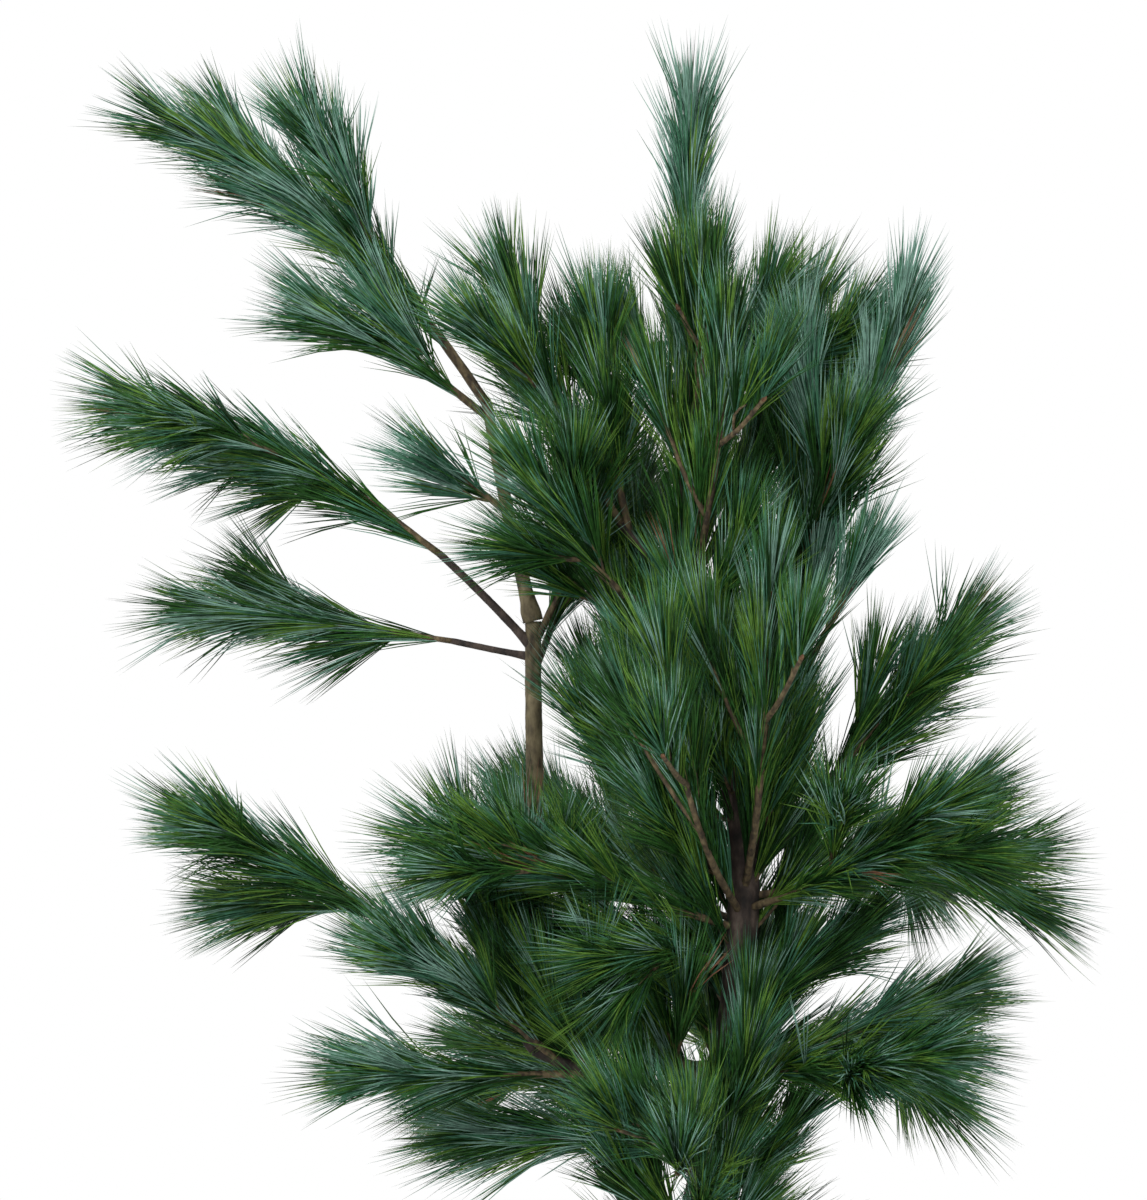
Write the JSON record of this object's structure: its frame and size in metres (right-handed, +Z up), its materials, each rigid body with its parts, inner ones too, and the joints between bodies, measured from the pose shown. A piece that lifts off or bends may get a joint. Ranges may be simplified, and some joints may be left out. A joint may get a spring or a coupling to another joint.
{
  "type": "young eastern white pine tree",
  "caption": "Young eastern white pine rooted in the ground: a leaning trunk with a second stem on its left, bare boughs in whorls, and long soft needles in brush-like masses.",
  "frame": {"origin": "centre of the flat cut under the trunk, at ground level", "axes": "+Z up the tree; -Y is the front, the side the picture shows; +X is to the right of that view, and the second stem is on the left, towards -X"},
  "size_m": [0.8428, 0.7135, 1.1858],
  "materials": {
    "bark": "dull brown bark, smooth on young wood",
    "needles": "soft blue-green to yellow-green needles with a slight sheen"
  },
  "bodies": {
    "root": {"bough_left_level": "bark", "bough_left_rising": "bark", "bough_left_stem": "bark", "bough_left_stem_foot": "bark", "bough_left_stem_top": "bark", "bough_low_left": "bark", "bough_low_left_rising": "bark", "bough_middle_left": "bark", "bough_middle_right": "bark", "bough_right_rising": "bark", "bough_upper_left": "bark", "bough_upper_left_level": "bark", "needles_bottom_back": "needles", "needles_bottom_front": "needles", "needles_bottom_left": "needles", "needles_leader": "needles", "needles_left_front_plume": "needles", "needles_left_level_plume": "needles", "needles_left_plume": "needles", "needles_left_stem_back": "needles", "needles_left_stem_right": "needles", "needles_left_stem_side": "needles", "needles_left_stem_tuft": "needles", "needles_low_back": "needles", "needles_low_back_left": "needles", "needles_low_back_right": "needles", "needles_low_front": "needles", "needles_low_front_left": "needles", "needles_low_front_right": "needles", "needles_low_left_lower": "needles", "needles_low_left_plume": "needles", "needles_low_left_upper": "needles", "needles_middle_back": "needles", "needles_middle_back_left": "needles", "needles_middle_back_right": "needles", "needles_middle_front": "needles", "needles_middle_front_left": "needles", "needles_middle_front_right": "needles", "needles_middle_left": "needles", "needles_right_inner": "needles", "needles_right_low_plume": "needles", "needles_right_low_rising": "needles", "needles_right_plume": "needles", "needles_right_small": "needles", "needles_right_spire": "needles", "needles_right_top": "needles", "needles_right_upper_plume": "needles", "needles_top_back": "needles", "needles_top_front": "needles", "needles_top_left": "needles", "needles_top_left_plume": "needles", "needles_top_right": "needles", "needles_upper_back": "needles", "needles_upper_back_left": "needles", "needles_upper_front": "needles", "needles_upper_left": "needles", "needles_upper_left_inner": "needles", "needles_upper_left_level": "needles", "needles_upper_right": "needles", "trunk": "bark"}
  },
  "joints": []
}
